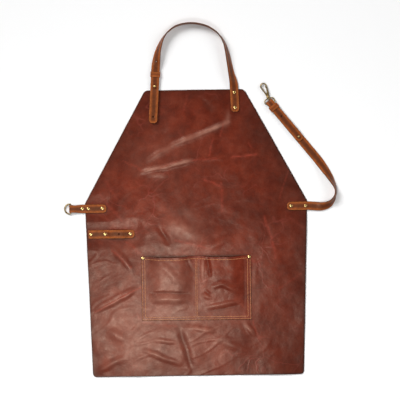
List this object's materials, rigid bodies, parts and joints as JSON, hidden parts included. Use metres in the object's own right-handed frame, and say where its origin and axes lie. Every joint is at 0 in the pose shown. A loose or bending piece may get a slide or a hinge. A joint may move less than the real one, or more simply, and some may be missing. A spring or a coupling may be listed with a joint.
{
  "type": "leather bib apron",
  "caption": "Leather bib apron laid flat: riveted neck strap loop, waist strap with a swivel snap hook, ring tab, tool strip and divided pocket.",
  "frame": {"origin": "middle of the panel's back face: half way down its length, on its centre line, on the surface that it lies on", "axes": "+Z out of the apron's front, +Y towards the neck loop, +X towards the wearer's left, where the waist strap leaves"},
  "size_m": [0.7636, 0.9871, 0.0242],
  "materials": {
    "apron_leather": "waxed pull-up leather",
    "strap_leather": "vegetable-tanned strap leather with burnished edges",
    "thread": "waxed thread",
    "brass": "polished",
    "antique_brass": "antique, dark in the hollows"
  },
  "bodies": {
    "apron": {"apron_panel": "apron_leather", "pocket_panel": "apron_leather", "neck_strap": "strap_leather", "neck_short_strap": "strap_leather", "ring_tab": "strap_leather", "tool_strip": "strap_leather", "waist_strap": "strap_leather", "pocket_edge_stitching": "thread", "pocket_inner_stitching": "thread", "pocket_hem_stitching": "thread", "pocket_divider_stitching": "thread", "neck_stud": "brass", "neck_stud_screw": "brass", "neck_rivet_caps": "brass", "neck_rivet_backs": "brass", "tab_rivet_caps": "brass", "tab_rivet_backs": "brass", "strip_rivet_caps": "brass", "strip_rivet_backs": "brass", "pocket_rivet_caps": "brass", "pocket_rivet_backs": "brass", "waist_stud": "brass", "waist_stud_screw": "brass", "waist_rivet_caps": "brass", "waist_rivet_backs": "brass"},
    "neck_keeper": {"neck_keeper": "strap_leather"},
    "waist_keeper": {"waist_keeper": "strap_leather"},
    "d_ring": {"d_ring": "antique_brass"},
    "hook_eye": {"hook_eye": "antique_brass"},
    "hook": {"hook_body": "antique_brass", "swivel_stem": "antique_brass", "gate_pin": "antique_brass"},
    "hook_gate": {"hook_gate": "antique_brass"}
  },
  "joints": [
    {"name": "neck_keeper_slide", "type": "slide", "parent": "apron", "child": "neck_keeper", "axis": [0.0628, 0.998, 0], "range_m": [-0.02, 0.008]},
    {"name": "waist_keeper_slide", "type": "slide", "parent": "apron", "child": "waist_keeper", "axis": [0.632, -0.7749, 0], "range_m": [0, 0.09]},
    {"name": "d_ring_swing", "type": "hinge", "parent": "apron", "child": "d_ring", "pos_m": [-0.3505, 0.0713, 0.00455], "axis": [0, 1, 0], "range_deg": [0, 150]},
    {"name": "hook_eye_swing", "type": "hinge", "parent": "apron", "child": "hook_eye", "pos_m": [0.21176, 0.35992, 0.0047], "axis": [0.9397, 0.342, 0], "range_deg": [0, 110]},
    {"name": "hook_swivel", "type": "hinge", "parent": "hook_eye", "child": "hook", "pos_m": [0.2054, 0.37739, 0.0047], "axis": [-0.342, 0.9397, 0], "continuous": true},
    {"name": "hook_gate_open", "type": "hinge", "parent": "hook", "child": "hook_gate", "pos_m": [0.20473, 0.38566, 0.0047], "axis": [0, 0, 1], "range_deg": [0, 22], "stiffness_Nm_per_rad": 0.02, "springref_deg": -20.05}
  ]
}
